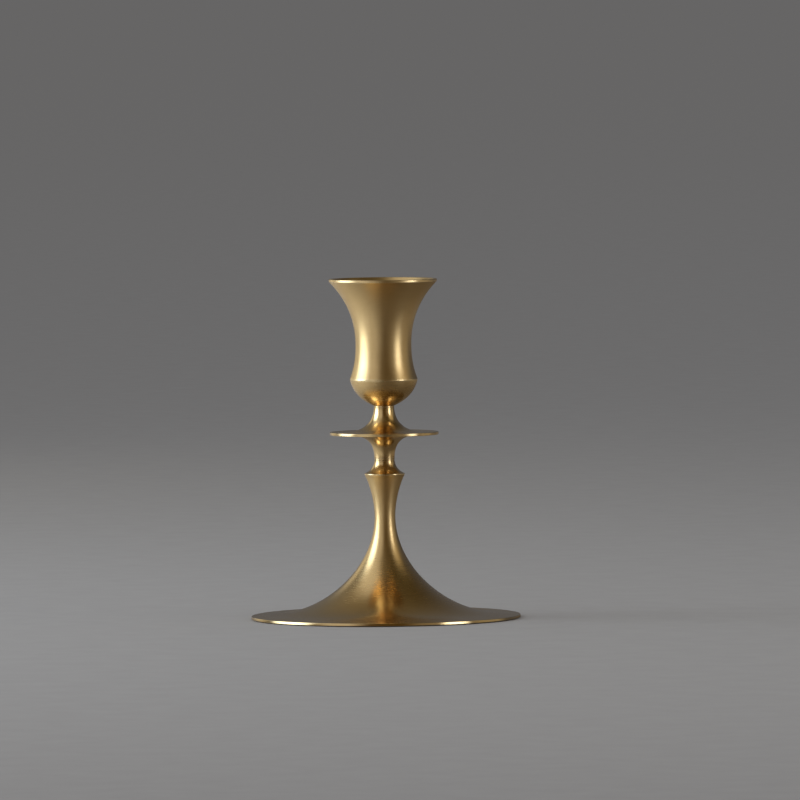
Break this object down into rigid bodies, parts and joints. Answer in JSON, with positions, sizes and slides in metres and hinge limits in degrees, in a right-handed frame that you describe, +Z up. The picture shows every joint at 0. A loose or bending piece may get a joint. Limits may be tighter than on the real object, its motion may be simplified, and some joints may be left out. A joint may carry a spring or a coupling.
{
  "type": "candlestick",
  "caption": "Turned brass candlestick: flared candle cup, round drip pan and trumpet foot stacked on one axis and held by a threaded rod and nut.",
  "frame": {"origin": "on the axis, at the level of the surface that the pad stands on", "axes": "+Z up along the axis that every piece is turned about; +X and +Y are any two directions across it"},
  "size_m": [0.119, 0.119, 0.15],
  "materials": {
    "brass_satin": "turned and satin brushed round the axis",
    "zinc_steel": "zinc plated",
    "felt": "pressed wool felt"
  },
  "bodies": {
    "root": {"base_pad": "felt", "foot": "brass_satin", "drip_pan": "brass_satin", "candle_cup": "brass_satin", "tie_rod": "zinc_steel", "flat_washer": "zinc_steel", "spring_washer": "zinc_steel", "hex_nut": "zinc_steel"}
  },
  "joints": []
}
